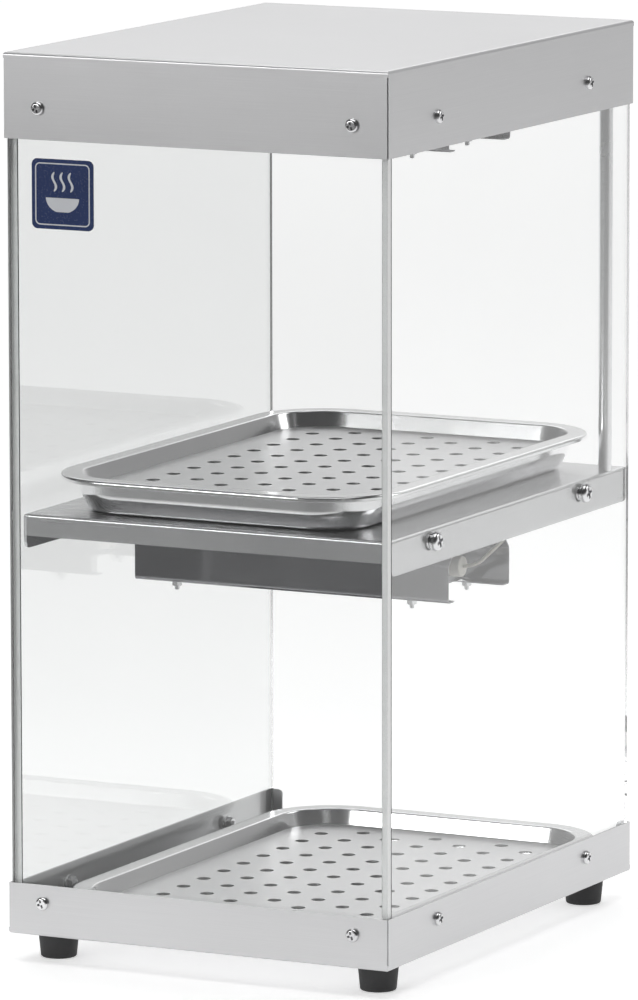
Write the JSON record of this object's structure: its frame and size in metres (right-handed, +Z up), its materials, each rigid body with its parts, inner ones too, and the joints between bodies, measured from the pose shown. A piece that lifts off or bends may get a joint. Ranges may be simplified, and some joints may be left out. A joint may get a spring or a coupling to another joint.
{
  "type": "hot food display case",
  "caption": "Narrow countertop hot food display case with glass front and sides, open back, a fixed shelf, heat lamps and pull-out drip trays.",
  "frame": {"origin": "middle of the bounding box on the plane the feet rest on", "axes": "+X to the right seen from the front, +Y towards the open back, +Z up"},
  "size_m": [0.2448, 0.3304, 0.5175],
  "materials": {
    "brushed_steel": "fine brushed stainless sheet",
    "polished_steel": "mirror-polished stainless sheet",
    "satin_steel": "satin stainless plate",
    "reflector_steel": "bright annealed stainless sheet",
    "fastener_steel": "bright zinc-plated or stainless screws",
    "clear_glass": "clear float glass",
    "quartz": "clear quartz tube",
    "tungsten": "dull wound wire",
    "ceramic": "unglazed white ceramic",
    "black_rubber": "moulded matte rubber",
    "clear_bush": "grey nylon",
    "black_plastic": "fine-textured black plastic",
    "rocker_plastic": "semi-gloss black plastic",
    "block_plastic": "natural nylon",
    "brass": "plain brass blades",
    "wire_sleeve": "woven glass-fibre sleeve",
    "badge_film": "glossy printed plate"
  },
  "bodies": {
    "case": {"badge": "badge_film", "base_nuts": "fastener_steel", "base_pan": "brushed_steel", "base_screws": "fastener_steel", "base_washers": "fastener_steel", "conduit_bush": "black_rubber", "conduit_tube": "polished_steel", "cover_screws": "fastener_steel", "earth_stud": "fastener_steel", "foot_front_left": "black_rubber", "foot_front_right": "black_rubber", "foot_nuts": "fastener_steel", "foot_rear_left": "black_rubber", "foot_rear_right": "black_rubber", "foot_screws": "fastener_steel", "front_glass": "clear_glass", "head_nuts": "fastener_steel", "head_rear_panel": "brushed_steel", "head_screws": "fastener_steel", "head_washers": "fastener_steel", "inlet_blades": "brass", "inlet_body": "black_plastic", "left_glass": "clear_glass", "lower_filament": "tungsten", "lower_guard_screws": "fastener_steel", "lower_guard_straps": "reflector_steel", "lower_heater_leads": "wire_sleeve", "lower_lamp_brackets": "reflector_steel", "lower_lamp_ends": "ceramic", "lower_lamp_tube": "quartz", "lower_reflector": "reflector_steel", "lower_switch_body": "black_plastic", "panel_screws": "fastener_steel", "reflector_screws": "fastener_steel", "right_glass": "clear_glass", "shelf": "brushed_steel", "shelf_bushes": "clear_bush", "shelf_nuts": "fastener_steel", "shelf_screws": "fastener_steel", "switch_blades": "brass", "terminal_block": "block_plastic", "terminal_screws": "fastener_steel", "top_cover": "brushed_steel", "upper_filament": "tungsten", "upper_guard_screws": "fastener_steel", "upper_guard_straps": "reflector_steel", "upper_heater_leads": "wire_sleeve", "upper_lamp_brackets": "reflector_steel", "upper_lamp_ends": "ceramic", "upper_lamp_tube": "quartz", "upper_reflector": "reflector_steel", "upper_switch_body": "black_plastic", "wiring_cover": "brushed_steel"},
    "upper_tray": {"upper_tray": "polished_steel"},
    "lower_tray": {"lower_tray": "polished_steel"},
    "upper_drip_plate": {"upper_drip_plate": "satin_steel"},
    "lower_drip_plate": {"lower_drip_plate": "satin_steel"},
    "upper_rocker": {"upper_rocker": "rocker_plastic"},
    "lower_rocker": {"lower_rocker": "rocker_plastic"}
  },
  "joints": [
    {"name": "upper_tray_slide", "type": "slide", "parent": "case", "child": "upper_tray", "axis": [0, 1, 0], "range_m": [0, 0.315]},
    {"name": "lower_tray_slide", "type": "slide", "parent": "case", "child": "lower_tray", "axis": [0, 1, 0], "range_m": [0, 0.315]},
    {"name": "upper_plate_lift", "type": "slide", "parent": "upper_tray", "child": "upper_drip_plate", "axis": [0, 0, 1], "range_m": [0, 0.04]},
    {"name": "lower_plate_lift", "type": "slide", "parent": "lower_tray", "child": "lower_drip_plate", "axis": [0, 0, 1], "range_m": [0, 0.04]},
    {"name": "upper_switch_rock", "type": "hinge", "parent": "case", "child": "upper_rocker", "pos_m": [0.058, 0.1543, 0.493], "axis": [1, 0, 0], "range_deg": [-16, 0]},
    {"name": "lower_switch_rock", "type": "hinge", "parent": "case", "child": "lower_rocker", "pos_m": [0.03, 0.1543, 0.493], "axis": [1, 0, 0], "range_deg": [-16, 0]}
  ]
}
